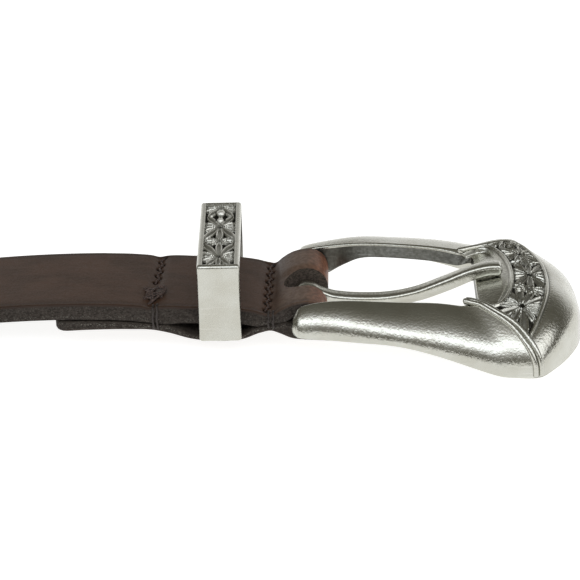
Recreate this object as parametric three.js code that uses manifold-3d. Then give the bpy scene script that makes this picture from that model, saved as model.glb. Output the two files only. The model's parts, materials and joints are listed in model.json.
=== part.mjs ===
import * as THREE from 'three';
import { mergeVertices } from 'three/addons/utils/BufferGeometryUtils.js';
import Module from 'manifold-3d';

// Western belt with a cast buckle and keeper, lying straight and flat with its face up.
// Millimetres, +Z up, +X from the strap's tip towards the buckle's tip.
// While the belt is built, x and y are measured from the hinge bar's axis, and z from the surface under it.

const wasm = await Module();
wasm.setup();

// Driving sizes
const STRAP_WIDTH = 25.4;
const STRAP_THICKNESS = 4.0;
const BAR_TO_MIDDLE_HOLE = 760;
const HOLE_COUNT = 5;
const HOLE_PITCH = 25;
const HOLE_DIAMETER = 4.5;
const LAST_HOLE_TO_TIP = 75;
const BAR_RADIUS = 1.75;
const BAR_HEIGHT = 8.3;
const BAR_HALF_LENGTH = 14.6;
const RUNNING_GAP = 0.3;
const TURN_RADIUS = 4.9;
const SLOT_HALF_WIDTH = 3.8;
const SLOT_LEFT_END = -5.1;
const RETURN_END_X = -56.5;
const SLIT_GAP = 0.4;
const KEEPER = { x: -19.5, length: 9.4, width: 32.2, low: 4.95, high: 24.0 };
const KEEPER_WALL = { side: 1.7, roof: 1.9, floor: 1.5 };
const KEEPER_TURN = THREE.MathUtils.degToRad(2.2);
const SHELL_WALL = 2.3;
const RIM_WALL = 1.5;
const PRONG_WIDTH = 2.8;
const PRONG_THICKNESS = 2.0;
const EYE_RADIUS = 3.15;

// Turns rows of numbers into rows with named columns.
function table(columns, values) {
  return values.map((row) => Object.fromEntries(columns.map((name, k) => [name, row[k]])));
}

// Upper face of the strap from the raised crest behind the return layer to the top of the turn.
const TOP_LINE = table(['x', 'z'], [
  [-47.8, 12.5],
  [-40.0, 12.25],
  [-36.5, 11.9],
  [-34.8, 11.5],
  [-33.0, 11.8],
  [-26.2, 11.8],
  [-15.3, 11.4],
  [-11.6, 10.8],
  [-9.0, 10.1],
  [-7.4, 9.9],
  [-5.9, 11.0],
  [-4.0, 12.1],
  [-1.8, 12.9],
  [0.0, 13.2],
]);

// Lower face of the return layer, which bulges down under the keeper and is pinched at both stitch rows.
const RETURN_LINE = table(['x', 'z'], [
  [-56.5, 5.4],
  [-47.0, 5.9],
  [-39.5, 6.0],
  [-34.0, 5.8],
  [-30.6, 5.05],
  [-26.2, 3.7],
  [-19.9, 3.0],
  [-13.9, 3.6],
  [-10.1, 5.15],
  [-7.6, 5.66],
  [-5.8, 5.0],
  [-3.1, 3.8],
  [0.0, 3.4],
]);

// Tunnel between the strap and the return layer, through which the keeper's lower bar passes.
const TUNNEL = table(['x', 'low', 'high'], [
  [-31.0, 7.1, 7.3],
  [-28.0, 5.9, 7.6],
  [-25.4, 4.75, 7.6],
  [-20.0, 4.7, 7.5],
  [-13.9, 4.75, 7.3],
  [-12.3, 5.9, 7.0],
  [-10.8, 6.5, 6.7],
]);

// Where the strap leaves the surface and where it reaches its raised crest.
const LIFT = { from: -153.8, to: -47.8, crest: 12.5 };
const MIDDLE_HOLE_X = -BAR_TO_MIDDLE_HOLE;
const LAST_HOLE_X = MIDDLE_HOLE_X - ((HOLE_COUNT - 1) / 2) * HOLE_PITCH;
const TIP = { pointX: LAST_HOLE_X - LAST_HOLE_TO_TIP, shoulder: 11, roundness: 4 };

// Cross sections of half the buckle shell, from a rail's free end to the middle of the tip. The lip is the
// edge of the opening, the crest the highest line of the section, and the rim its lowest edge. power bends
// the way from crest to rim (2 is an ellipse), inner is the lower edge of the inner wall, and fill says how
// far the section is solid.
const SECTION_NAMES = [
  'lipX', 'lipY', 'lipZ', 'crestX', 'crestY', 'crestZ', 'rimX', 'rimY', 'rimZ', 'power', 'inner', 'fill',
];
const SECTIONS = table(SECTION_NAMES, [
  [-2.8, 13.9, 10.4, -2.8, 14.4, 10.7, -2.8, 15.1, 8.6, 2.0, 8.4, 1],
  [-1.9, 13.4, 11.6, -1.9, 14.4, 12.2, -1.9, 16.2, 7.6, 2.0, 6.8, 1],
  [0.8, 13.3, 12.4, 0.8, 15.0, 13.2, 0.8, 17.6, 7.0, 2.0, 6.2, 1],
  [5.2, 13.3, 12.9, 5.2, 15.5, 14.1, 5.2, 19.0, 6.9, 2.0, 7.4, 1],
  [12.5, 13.8, 13.7, 12.5, 15.9, 14.5, 12.5, 21.2, 7.0, 2.05, 10.4, 0.1],
  [20.9, 13.9, 13.9, 20.9, 16.0, 14.5, 20.9, 22.5, 6.8, 1.95, 11.0, 0],
  [29.5, 13.8, 13.8, 29.8, 16.1, 14.0, 31.4, 23.5, 5.3, 1.9, 11.0, 0],
  [34.4, 13.4, 13.5, 35.6, 15.8, 13.7, 41.4, 23.9, 2.2, 1.8, 11.0, 0],
  [36.4, 12.6, 13.3, 39.2, 14.8, 13.4, 46.0, 24.3, 0.8, 1.85, 11.0, 0],
  [38.0, 12.2, 13.2, 41.6, 14.6, 13.3, 51.0, 24.3, 0.3, 1.85, 10.8, 0],
  [38.4, 10.9, 12.1, 43.8, 12.8, 13.4, 54.3, 21.9, 0.3, 2.3, 9.8, 0],
  [38.4, 7.8, 12.1, 45.4, 9.0, 13.5, 57.7, 16.9, 0.3, 2.6, 9.8, 0],
  [38.4, 4.0, 12.1, 46.4, 4.8, 13.6, 61.5, 8.6, 0.2, 2.5, 9.8, 0],
  [38.4, 0.0, 12.1, 46.8, 0.0, 13.6, 62.8, 0.0, 0.0, 2.4, 9.8, 0],
]);
const RIDGE_ROW = 9;
const AXIS_ROW = SECTIONS.length - 1;
const BAND = { centreX: 11.2, outerRadius: 43.4, bead: 0.5, pitch: 12.3, lift: 0.7, sink: 0.6 };
const RIDGE_RADIUS = 0.75;

// Upper face of the prong, from over its eye to its blunt end above the rest plate.
const PRONG_TOP = table(['x', 'z'], [
  [0.0, 11.45],
  [1.8, 10.9],
  [3.8, 9.5],
  [5.7, 8.7],
  [8.8, 8.15],
  [13.0, 8.0],
  [18.4, 8.2],
  [24.6, 9.6],
  [31.2, 12.2],
  [37.6, 14.8],
  [41.0, 15.6],
  [45.0, 15.8],
]);

// Curves and outlines

// Height at x of a smooth curve through the rows of a table.
function heightAt(rows, x, column = 'z') {
  const last = rows.length - 1;
  const inside = THREE.MathUtils.clamp(x, rows[0].x, rows[last].x);
  const k = Math.min(rows.findLastIndex((row) => row.x <= inside), last - 1);
  const slope = (i) => {
    const before = rows[Math.max(i - 1, 0)];
    const after = rows[Math.min(i + 1, last)];
    return (after[column] - before[column]) / (after.x - before.x);
  };
  const width = rows[k + 1].x - rows[k].x;
  const t = (inside - rows[k].x) / width;
  const rise = rows[k + 1][column] - rows[k][column];
  const fromLine = (1 - t) * (slope(k) * width - rise) - t * (slope(k + 1) * width - rise);
  return rows[k][column] + rise * t + t * (1 - t) * fromLine;
}

function steps(from, to, count) {
  return Array.from({ length: count + 1 }, (_, k) => from + ((to - from) * k) / count);
}

function strapTop(x) {
  if (x >= LIFT.to) {
    return heightAt(TOP_LINE, x);
  }
  const t = THREE.MathUtils.clamp((x - LIFT.from) / (LIFT.to - LIFT.from), 0, 1);
  const ease = (1 - Math.cos(Math.PI * t)) / 2;
  return STRAP_THICKNESS + (LIFT.crest - STRAP_THICKNESS) * ease;
}

// Extrudes an outline drawn in x and z across the belt, centred on y = 0.
function acrossBelt(shape, width, bevel = 0) {
  const geometry = new THREE.ExtrudeGeometry(shape, {
    depth: width - 2 * bevel,
    steps: 1,
    bevelEnabled: bevel > 0,
    bevelThickness: bevel,
    bevelSize: bevel,
    bevelOffset: -bevel,
    bevelSegments: 2,
  });
  return geometry.translate(0, 0, bevel - width / 2).rotateX(Math.PI / 2);
}

function upright(shape, low, high) {
  const geometry = new THREE.ExtrudeGeometry(shape, { depth: high - low, steps: 1, bevelEnabled: false });
  return geometry.translate(0, 0, low);
}

// Solids

function solid(geometry) {
  const bare = new THREE.BufferGeometry();
  bare.setAttribute('position', geometry.getAttribute('position').clone());
  bare.setIndex(geometry.index ? geometry.index.clone() : null);
  const welded = mergeVertices(bare, 1e-4);
  const corners = welded.index.array;
  const faces = [];
  for (let k = 0; k < corners.length; k += 3) {
    const face = [corners[k], corners[k + 1], corners[k + 2]];
    if (new Set(face).size === 3) {
      faces.push(...face);
    }
  }
  return new wasm.Manifold(new wasm.Mesh({
    numProp: 3,
    vertProperties: new Float32Array(welded.getAttribute('position').array),
    triVerts: new Uint32Array(faces),
  }));
}

function joined(solids) {
  return solids.reduce((sum, next) => sum.add(next));
}

function meshOf(name, body, material) {
  const result = body.getMesh();
  const geometry = new THREE.BufferGeometry();
  geometry.setAttribute('position', new THREE.BufferAttribute(new Float32Array(result.vertProperties), 3));
  geometry.setIndex(new THREE.BufferAttribute(new Uint32Array(result.triVerts), 1));
  geometry.computeVertexNormals();
  const mesh = new THREE.Mesh(geometry, material);
  mesh.name = name;
  return mesh;
}

function geometryFrom(points, triangles) {
  const geometry = new THREE.BufferGeometry();
  geometry.setAttribute('position', new THREE.Float32BufferAttribute(points.flatMap((p) => p.toArray()), 3));
  geometry.setIndex(triangles);
  return geometry;
}

// Leather strap

function strapOutline() {
  const top = [TIP.pointX, ...steps(LIFT.from, LIFT.to, 16), ...steps(LIFT.to, -14, 20).slice(1),
    ...steps(-14, 0, 14).slice(1)].map((x) => new THREE.Vector2(x, strapTop(x)));
  const middle = (RETURN_LINE.at(-1).z + TOP_LINE.at(-1).z) / 2;
  const turn = steps(Math.PI / 2, -Math.PI / 2, 14).slice(1, -1).map((angle) => new THREE.Vector2(
    TURN_RADIUS * Math.cos(angle) ** 0.9,
    middle + TURN_RADIUS * Math.sin(angle),
  ));
  const under = steps(0, RETURN_END_X, 36).map((x) => new THREE.Vector2(x, heightAt(RETURN_LINE, x)));
  const slitEnd = -37;
  const strapUnder = (x) => strapTop(x) - STRAP_THICKNESS;
  const slit = steps(RETURN_END_X, slitEnd, 5).map((x) => new THREE.Vector2(x, strapUnder(x) - SLIT_GAP));
  const back = [...steps(slitEnd, LIFT.to, 4), ...steps(LIFT.to, LIFT.from, 16).slice(1), TIP.pointX]
    .map((x) => new THREE.Vector2(x, strapUnder(x)));
  return new THREE.Shape([...top, ...turn, ...under, ...slit, ...back]);
}

function tunnelOutline() {
  const ends = [TUNNEL[0].x, TUNNEL.at(-1).x];
  const high = steps(ends[0], ends[1], 14).map((x) => new THREE.Vector2(x, heightAt(TUNNEL, x, 'high')));
  const low = steps(ends[1], ends[0], 14).map((x) => new THREE.Vector2(x, heightAt(TUNNEL, x, 'low')));
  return new THREE.Shape([...high, ...low]);
}

// Space round the hinge bar: round at the bar and drawn to a point towards the stitches.
function barSpaceOutline() {
  const radius = BAR_RADIUS + RUNNING_GAP;
  const round = steps(-0.7 * Math.PI, 0.7 * Math.PI, 18).map((angle) => new THREE.Vector2(
    radius * Math.cos(angle),
    BAR_HEIGHT + radius * Math.sin(angle),
  ));
  return new THREE.Shape([...round, new THREE.Vector2(-4.4, BAR_HEIGHT - 0.3)]);
}

// Outline of the strap from above, with a rounded point at its free end.
function strapPlan() {
  const half = STRAP_WIDTH / 2;
  const shoulderX = TIP.pointX + TIP.shoulder;
  const plan = new THREE.Shape();
  plan.moveTo(TURN_RADIUS + 1, -half);
  plan.lineTo(TURN_RADIUS + 1, half);
  plan.lineTo(shoulderX, half);
  plan.bezierCurveTo(shoulderX - 5, half, TIP.pointX, TIP.roundness + 3, TIP.pointX, 0);
  plan.bezierCurveTo(TIP.pointX, -TIP.roundness - 3, shoulderX - 5, -half, shoulderX, -half);
  return plan;
}

function slotPlan() {
  const centre = SLOT_LEFT_END + SLOT_HALF_WIDTH;
  const plan = new THREE.Shape();
  plan.moveTo(TURN_RADIUS + 2, -SLOT_HALF_WIDTH);
  plan.lineTo(TURN_RADIUS + 2, SLOT_HALF_WIDTH);
  plan.lineTo(centre, SLOT_HALF_WIDTH);
  plan.absarc(centre, 0, SLOT_HALF_WIDTH, Math.PI / 2, 1.5 * Math.PI, false);
  return plan;
}

// What is trimmed off to round one corner of the return layer's end.
function returnCorner(side) {
  const radius = 3;
  const x = RETURN_END_X;
  const y = (side * STRAP_WIDTH) / 2;
  const arc = steps(0, Math.PI / 2, 6).map((angle) => new THREE.Vector2(
    x + radius - radius * Math.cos(angle),
    y - side * radius * (1 - Math.sin(angle)),
  ));
  const outside = [new THREE.Vector2(x + radius, y + side), new THREE.Vector2(x - 1, y + side),
    new THREE.Vector2(x - 1, y - side * radius)];
  const split = strapTop(x) - STRAP_THICKNESS - SLIT_GAP / 2;
  return solid(upright(new THREE.Shape([...arc, ...outside]), 0, split));
}

function strapSolid() {
  const side = solid(acrossBelt(strapOutline(), STRAP_WIDTH + 1));
  const trimmed = side.intersect(solid(upright(strapPlan(), -1, 20)));
  const tunnel = solid(acrossBelt(tunnelOutline(), STRAP_WIDTH + 2));
  const barSpace = solid(acrossBelt(barSpaceOutline(), STRAP_WIDTH + 2));
  const slot = solid(upright(slotPlan(), -1, 20));
  const holes = steps(0, HOLE_COUNT - 1, HOLE_COUNT - 1).map((k) => {
    const plan = new THREE.Shape().absarc(LAST_HOLE_X + k * HOLE_PITCH, 0, HOLE_DIAMETER / 2, 0, 2 * Math.PI);
    return solid(upright(plan, -1, 20));
  });
  const cuts = [tunnel, barSpace, slot, ...holes, returnCorner(1), returnCorner(-1)];
  return cuts.reduce((body, cut) => body.subtract(cut), trimmed);
}

// Flower relief

const FLOWER = { petals: 10, shortest: 2.0, slimness: 0.17 };

// A petal as a low ridged leaf. place(u, v, h) maps its plan and height onto the surface that carries it.
function petal(place, centre, angle, near, far, halfWidth, lift, sink) {
  const along = new THREE.Vector2(Math.cos(angle), Math.sin(angle));
  const aside = new THREE.Vector2(-along.y, along.x);
  const belly = near + (far - near) * 0.5;
  const at = (reach, side, h) => place(
    centre.x + along.x * reach + aside.x * side,
    centre.y + along.y * reach + aside.y * side,
    h,
  );
  const ring = (nearHeight, sideHeight, farHeight) => [
    at(near, 0, nearHeight), at(belly, -halfWidth, sideHeight),
    at(far, 0, farHeight), at(belly, halfWidth, sideHeight),
  ];
  const points = [...ring(-sink, -sink, -sink), ...ring(lift * 0.6, 0, lift * 0.4), at(belly, 0, lift)];
  const faces = [0, 2, 1, 0, 3, 2, 0, 1, 5, 0, 5, 4, 1, 2, 6, 1, 6, 5, 2, 3, 7, 2, 7, 6, 3, 0, 4, 3, 4, 7,
    4, 5, 8, 5, 6, 8, 6, 7, 8, 7, 4, 8];
  return solid(geometryFrom(points, faces));
}

// Petals that reach from a flower's middle to the edges of its cell, which runs from the centre by left and
// right along u and by half across v. A flower at the end of a row keeps only the petals with room for them.
function flower(place, centre, cell, lift, sink) {
  const angles = steps(0, 2 * Math.PI, FLOWER.petals).slice(1);
  return angles.flatMap((angle) => {
    const side = Math.cos(angle) > 0 ? cell.right : cell.left;
    const across = cell.half / Math.max(Math.abs(Math.sin(angle)), 0.01);
    const reach = Math.min(side / Math.max(Math.abs(Math.cos(angle)), 0.01), across);
    return reach < FLOWER.shortest ? [] : [
      petal(place, centre, angle, cell.heart, reach, reach * FLOWER.slimness, lift, sink),
    ];
  });
}

// Keeper

// Flowers on the keeper's top, from its near edge to its far one, and how far their petals reach.
const KEEPER_FLOWERS = table(['y', 'left', 'right', 'heart'], [
  [-10.4, 4.5, 7.1, 0.6],
  [3.9, 7.1, 4.4, 0.6],
  [12.3, 3.9, 2.6, 1.1],
]);
const BALL_RADIUS = 1.35;

function keeperSolid() {
  const half = KEEPER.width / 2;
  const chamfer = 0.6;
  const outer = new THREE.Shape([
    [-half, KEEPER.low + chamfer], [-half + chamfer, KEEPER.low], [half - chamfer, KEEPER.low],
    [half, KEEPER.low + chamfer], [half, KEEPER.high - chamfer], [half - chamfer, KEEPER.high],
    [-half + chamfer, KEEPER.high], [-half, KEEPER.high - chamfer],
  ].map(([y, z]) => new THREE.Vector2(y, z)));
  const innerHalf = half - KEEPER_WALL.side;
  const innerLow = KEEPER.low + KEEPER_WALL.floor;
  const innerHigh = KEEPER.high - KEEPER_WALL.roof;
  const corner = 1.2;
  outer.holes.push(new THREE.Path([
    [-innerHalf, innerLow], [-innerHalf, innerHigh - corner], [-innerHalf + corner, innerHigh],
    [innerHalf - corner, innerHigh], [innerHalf, innerHigh - corner], [innerHalf, innerLow],
  ].map(([y, z]) => new THREE.Vector2(y, z))));
  const bevel = 0.3;
  const loop = new THREE.ExtrudeGeometry(outer, {
    depth: KEEPER.length - 2 * bevel,
    bevelEnabled: true,
    bevelThickness: bevel,
    bevelSize: bevel,
    bevelOffset: -bevel,
    bevelSegments: 1,
  });
  loop.translate(0, 0, bevel - KEEPER.length / 2).applyMatrix4(new THREE.Matrix4().makeBasis(
    new THREE.Vector3(0, 1, 0),
    new THREE.Vector3(0, 0, 1),
    new THREE.Vector3(1, 0, 0),
  ));
  const border = 1.1;
  const depth = 0.6;
  const field = { halfLength: KEEPER.length / 2 - border, halfWidth: half - border - 0.2 };
  const pan = new THREE.BoxGeometry(2 * field.halfLength, 2 * field.halfWidth, 2 * depth);
  pan.translate(0, 0, KEEPER.high);
  const place = (u, v, h) => new THREE.Vector3(-v, u, KEEPER.high - depth + h);
  const flowers = KEEPER_FLOWERS.flatMap(({ y, left, right, heart }) => (
    flower(place, new THREE.Vector2(y, 0), { left, right, heart, half: field.halfLength + 0.2 }, depth, 0.3)
  ));
  const ball = new THREE.SphereGeometry(BALL_RADIUS, 10, 6);
  ball.scale(1, 1, 0.7).translate(0, KEEPER_FLOWERS.at(-1).y, KEEPER.high - depth);
  return joined([solid(loop).subtract(solid(pan)), ...flowers, solid(ball)]);
}

// Buckle shell

const RING = [...SECTIONS, ...SECTIONS.slice(0, -1).reverse().map((row) => (
  { ...row, lipY: -row.lipY, crestY: -row.crestY, rimY: -row.rimY }
))];

// Section at s, counted in rows round the ring, on a smooth curve through the rows.
function sectionAt(s) {
  const last = RING.length - 1;
  const k = THREE.MathUtils.clamp(Math.floor(s), 0, last - 1);
  const t = s - k;
  const [a, b, c, d] = [k - 1, k, k + 1, k + 2].map((i) => RING[THREE.MathUtils.clamp(i, 0, last)]);
  const value = (name) => {
    const slopeB = (c[name] - a[name]) / 2;
    const slopeC = (d[name] - b[name]) / 2;
    const rise = c[name] - b[name];
    return b[name] + rise * t + t * (1 - t) * ((1 - t) * (slopeB - rise) - t * (slopeC - rise));
  };
  return Object.fromEntries(SECTION_NAMES.map((name) => [name, value(name)]));
}

// Point of the outer face at s. f is -1 at the lip, 0 at the crest and 1 at the rim.
function shellPoint(s, f) {
  const row = sectionAt(s);
  const crest = new THREE.Vector3(row.crestX, row.crestY, row.crestZ);
  if (f < 0) {
    const lip = new THREE.Vector3(row.lipX, row.lipY, row.lipZ);
    const point = crest.clone().lerp(lip, -f);
    point.z = row.crestZ - (row.crestZ - row.lipZ) * f * f;
    return point;
  }
  const rim = new THREE.Vector3(row.rimX, row.rimY, row.rimZ);
  const point = crest.clone().lerp(rim, f);
  point.z = row.rimZ + (row.crestZ - row.rimZ) * Math.max(0, 1 - f ** row.power) ** (1 / row.power);
  return point;
}

function shellNormal(s, f) {
  const step = 0.01;
  const g = THREE.MathUtils.clamp(f, -1 + step, 1 - step);
  const round = THREE.MathUtils.clamp(s, step, RING.length - 1 - step);
  const alongRing = shellPoint(round + step, g).sub(shellPoint(round - step, g));
  const acrossRing = shellPoint(round, g + step).sub(shellPoint(round, g - step));
  return alongRing.cross(acrossRing).normalize();
}

// Inner face of the shell: a wall inside the outer face, straight under it at the lip and thinner at the rim,
// or filled near the rails' ends.
function innerPoint(s, f) {
  const row = sectionAt(s);
  const fill = THREE.MathUtils.clamp(row.fill, 0, 1);
  const normal = shellNormal(s, f);
  if (f >= 1) {
    normal.setZ(0);
  }
  normal.lerp(new THREE.Vector3(0, 0, 1), Math.max(-f, 0)).normalize();
  const wall = THREE.MathUtils.lerp(SHELL_WALL, RIM_WALL, Math.max(f, 0));
  const hollow = shellPoint(s, f).addScaledVector(normal, -wall);
  const t = (f + 1) / 2;
  const filled = new THREE.Vector3(
    row.lipX + (row.rimX - row.lipX) * t,
    row.lipY + (row.rimY - row.lipY) * t * 0.93,
    row.inner + (row.rimZ - row.inner) * t,
  );
  return hollow.lerp(filled, fill);
}

function shellSolid() {
  const rowsPerSection = 3;
  const across = [...steps(-1, 0, 3), ...steps(0, Math.PI / 2, 9).slice(1).map((a) => Math.sin(a))];
  const around = steps(0, RING.length - 1, (RING.length - 1) * rowsPerSection);
  const loops = around.map((s) => [
    ...across.map((f) => shellPoint(s, f)),
    ...across.toReversed().map((f) => innerPoint(s, f)),
  ]);
  const size = loops[0].length;
  const faces = [];
  for (let i = 0; i + 1 < loops.length; i += 1) {
    for (let j = 0; j < size; j += 1) {
      const [a, b] = [i * size + j, i * size + ((j + 1) % size)];
      faces.push(a, b + size, b, a, a + size, b + size);
    }
  }
  const end = (loops.length - 1) * size;
  for (let j = 0; j < across.length - 1; j += 1) {
    const [a, b, c, d] = [j, j + 1, size - 2 - j, size - 1 - j];
    faces.push(a, b, c, a, c, d);
    faces.push(end + a, end + c, end + b, end + a, end + d, end + c);
  }
  return solid(geometryFrom(loops.flat(), faces));
}

// Raised round bead that follows points on the shell.
function bead(points, radius) {
  const section = new THREE.Shape().absarc(0, 0, radius, 0, 2 * Math.PI);
  return solid(new THREE.ExtrudeGeometry(section, {
    extrudePath: new THREE.CatmullRomCurve3(points),
    steps: points.length * 2,
    curveSegments: 3,
  }));
}

// How far from crest to rim the band's outer edge lies at s.
function bandEdge(s) {
  const row = sectionAt(s);
  const start = new THREE.Vector2(row.crestX - BAND.centreX, row.crestY);
  const reach = new THREE.Vector2(row.rimX - row.crestX, row.rimY - row.crestY);
  const half = start.dot(reach) / reach.lengthSq();
  return -half + Math.sqrt(half * half + (BAND.outerRadius ** 2 - start.lengthSq()) / reach.lengthSq());
}

function ridge(side) {
  const s = side > 0 ? RIDGE_ROW : RING.length - 1 - RIDGE_ROW;
  const hook = new THREE.Vector3(35.6, side * 13.6, 13.0);
  return bead([hook, ...steps(-0.95, 0.97, 10).map((f) => shellPoint(s, f))], RIDGE_RADIUS);
}

// Ring position of the point of the band's middle line at the signed distance y from the belt's middle.
function bandAt(y) {
  const side = y < 0 ? 1 : -1;
  const middle = (s) => Math.abs(shellPoint(s, bandEdge(s) / 2).y);
  let [near, far] = [AXIS_ROW, AXIS_ROW - side * (AXIS_ROW - RIDGE_ROW + 1)];
  for (let k = 0; k < 20; k += 1) {
    const half = (near + far) / 2;
    [near, far] = middle(half) < Math.abs(y) ? [half, far] : [near, half];
  }
  return (near + far) / 2;
}

function bandFlowers() {
  return [-1, 0, 1].flatMap((k) => {
    const s = bandAt(k * BAND.pitch);
    const f = bandEdge(s) / 2;
    const perRow = shellPoint(s + 0.1, f).distanceTo(shellPoint(s - 0.1, f)) / 0.2;
    const perCrossing = shellPoint(s, f + 0.1).distanceTo(shellPoint(s, f - 0.1)) / 0.2;
    const place = (u, v, h) => {
      const [ringS, crossing] = [s + u / perRow, f + v / perCrossing];
      return shellPoint(ringS, crossing).addScaledVector(shellNormal(ringS, crossing), h);
    };
    const cell = { left: 6.2, right: 6.2, half: f * perCrossing - BAND.bead, heart: 0.6 };
    return flower(place, new THREE.Vector2(0, 0), cell, BAND.lift, BAND.sink);
  });
}

function buckleSolid() {
  const bandRows = steps(RIDGE_ROW + 0.3, 2 * AXIS_ROW - RIDGE_ROW - 0.3, 16);
  const innerBead = bead(bandRows.map((s) => shellPoint(s, 0)), BAND.bead);
  const outerBead = bead(bandRows.map((s) => shellPoint(s, bandEdge(s))), BAND.bead);
  const bar = new THREE.CylinderGeometry(BAR_RADIUS, BAR_RADIUS, 2 * BAR_HALF_LENGTH, 20);
  bar.translate(0, 0, BAR_HEIGHT);
  return joined([shellSolid(), innerBead, outerBead, ridge(1), ridge(-1), solid(bar), ...bandFlowers()]);
}

// Prong

function prongSolid() {
  const xs = steps(PRONG_TOP[1].x, PRONG_TOP.at(-1).x, 28);
  const top = xs.map((x) => new THREE.Vector2(x, heightAt(PRONG_TOP, x)));
  const under = top.map((point, k) => {
    const along = top[Math.min(k + 1, top.length - 1)].clone().sub(top[Math.max(k - 1, 0)]).normalize();
    return new THREE.Vector2(point.x + along.y * PRONG_THICKNESS, point.y - along.x * PRONG_THICKNESS);
  });
  const root = [new THREE.Vector2(3.2, BAR_HEIGHT - 2), new THREE.Vector2(1.2, BAR_HEIGHT - 2.5)];
  const arm = new THREE.Shape([...top, ...under.slice(4).toReversed(), ...root]);
  const eye = new THREE.Shape().absarc(0, BAR_HEIGHT, EYE_RADIUS, 0, 2 * Math.PI);
  const bevel = 0.45;
  const bore = new THREE.Shape().absarc(0, BAR_HEIGHT, BAR_RADIUS + RUNNING_GAP, 0, 2 * Math.PI);
  const body = solid(acrossBelt(arm, PRONG_WIDTH, bevel)).add(solid(acrossBelt(eye, PRONG_WIDTH, bevel)));
  return body.subtract(solid(acrossBelt(bore, PRONG_WIDTH + 2)));
}

// Materials and assembly

const leather = () => new THREE.MeshStandardMaterial({ color: 0x3a2620, roughness: 0.5, metalness: 0 });
const silver = (roughness) => new THREE.MeshStandardMaterial({ color: 0xb3b0a8, roughness, metalness: 1 });

// The origin lies under the middle of the belt's length.
const belt = new THREE.Group();
const assembly = new THREE.Group();
const strap = meshOf('strap', strapSolid(), leather());
const keeper = meshOf('keeper', keeperSolid(), silver(0.3));
const buckle = meshOf('buckle_frame', buckleSolid(), silver(0.3));
const prong = meshOf('prong', prongSolid(), silver(0.25));
// The keeper sits loosely round the strap, turned a little.
keeper.position.x = KEEPER.x;
keeper.rotation.z = KEEPER_TURN;
assembly.add(strap, keeper, buckle, prong);
assembly.position.x = -(TIP.pointX + SECTIONS[AXIS_ROW].rimX) / 2;
belt.add(assembly);

export default belt;
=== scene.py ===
"""Looks of a straight western belt: strap with a stitched fold, cast buckle, prong and keeper.

Lengths are in millimetres: x from the hinge bar's axis towards the buckle's tip, y from the belt's middle
away from the camera and z from the surface. new_mesh() turns them into the frame's metres.
"""

import json
from math import cos, pi, radians, sin, sqrt

import bpy
import numpy as np
from mathutils import Matrix, Vector


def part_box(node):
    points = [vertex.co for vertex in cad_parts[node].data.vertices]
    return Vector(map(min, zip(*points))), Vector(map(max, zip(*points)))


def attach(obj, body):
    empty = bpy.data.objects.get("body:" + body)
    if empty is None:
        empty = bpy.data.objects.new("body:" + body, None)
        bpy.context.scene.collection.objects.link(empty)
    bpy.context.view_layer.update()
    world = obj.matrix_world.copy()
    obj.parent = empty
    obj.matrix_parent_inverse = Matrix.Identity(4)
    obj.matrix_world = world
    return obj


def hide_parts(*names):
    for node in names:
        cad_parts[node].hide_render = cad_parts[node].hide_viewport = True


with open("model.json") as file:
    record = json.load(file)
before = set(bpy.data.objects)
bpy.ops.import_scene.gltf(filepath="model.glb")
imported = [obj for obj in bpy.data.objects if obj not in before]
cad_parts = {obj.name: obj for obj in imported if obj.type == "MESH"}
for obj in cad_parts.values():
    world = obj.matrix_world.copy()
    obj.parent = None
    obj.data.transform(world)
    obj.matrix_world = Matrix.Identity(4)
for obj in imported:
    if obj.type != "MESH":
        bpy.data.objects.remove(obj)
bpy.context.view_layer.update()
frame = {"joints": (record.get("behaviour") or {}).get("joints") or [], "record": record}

# Sizes from the frame

MM = 0.001
HINGE = next(joint for joint in frame["joints"] if joint["name"] == "buckle_hinge")
BAR_X = HINGE["pos_m"][0] / MM
BAR_HEIGHT = HINGE["pos_m"][2] / MM
BODY_OF = {node: body for body, nodes in frame["record"]["behaviour"]["bodies"].items() for node in nodes}
STRAP_LOW, STRAP_HIGH = (np.array(corner) / MM - (BAR_X, 0, 0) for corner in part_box("strap"))

# Sizes of the strap

STRAP_HALF = STRAP_HIGH[1] + 0.35
STRAP_THICKNESS = 4.0
EDGE_ROUND = 0.6
FLESH_ROUND = 0.4
TIP_X = STRAP_LOW[0]
TIP_FINE_LENGTH = 12
# Control points of the tip's outline, as distance along the strap from its point and half width
TIP_CURVE = np.array([(11.0, STRAP_HALF), (6.0, STRAP_HALF), (0.0, 7.0), (0.0, 0.0)])
LAST_HOLE_TO_TIP = 75
HOLE_PITCH = 25
HOLE_COUNT = 5
HOLE_RADIUS = 2.25
TURN_RADIUS = STRAP_HIGH[0]
RETURN_END_X = -56.5
RETURN_CORNER = 3
SLIT_GAP = 0.4
SLIT_END_X = -37
SLOT_HALF_WIDTH = 4.0
SLOT_MIDDLE_Y = -1.1
SLOT_LEFT_END = -5.1
LIFT_FROM = -153.8
# Stretches of the upper layer past the tip, as x of the end and number of stations
UPPER_STRETCHES = ((-160, 120), (-75, 50), (-36.5, 90), (-31.5, 28), (-10.5, 70), (-6.5, 22), (0, 32))
# Upper face of the strap from its raised crest to the top of the turn, as x and z
TOP_LINE = np.array([
    (-47.8, 12.5), (-40, 12.25), (-36.5, 11.9), (-34.8, 11.5), (-33, 11.8), (-26.2, 11.8), (-15.3, 11.4),
    (-11.6, 10.8), (-9, 10.1), (-7.4, 9.9), (-5.9, 11), (-4, 12.1), (-1.8, 12.9), (0, 13.2),
])
CREST_X, CREST_HEIGHT = TOP_LINE[0]
# Lower face of the return layer, as x and z
RETURN_LINE = np.array([
    (-56.5, 5.4), (-47, 5.9), (-39.5, 6), (-34, 5.8), (-30.6, 5.05), (-26.2, 3.7), (-19.9, 3),
    (-13.9, 3.6), (-10.1, 5.15), (-7.6, 5.66), (-5.8, 5), (-3.1, 3.8), (0, 3.4),
])
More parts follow.
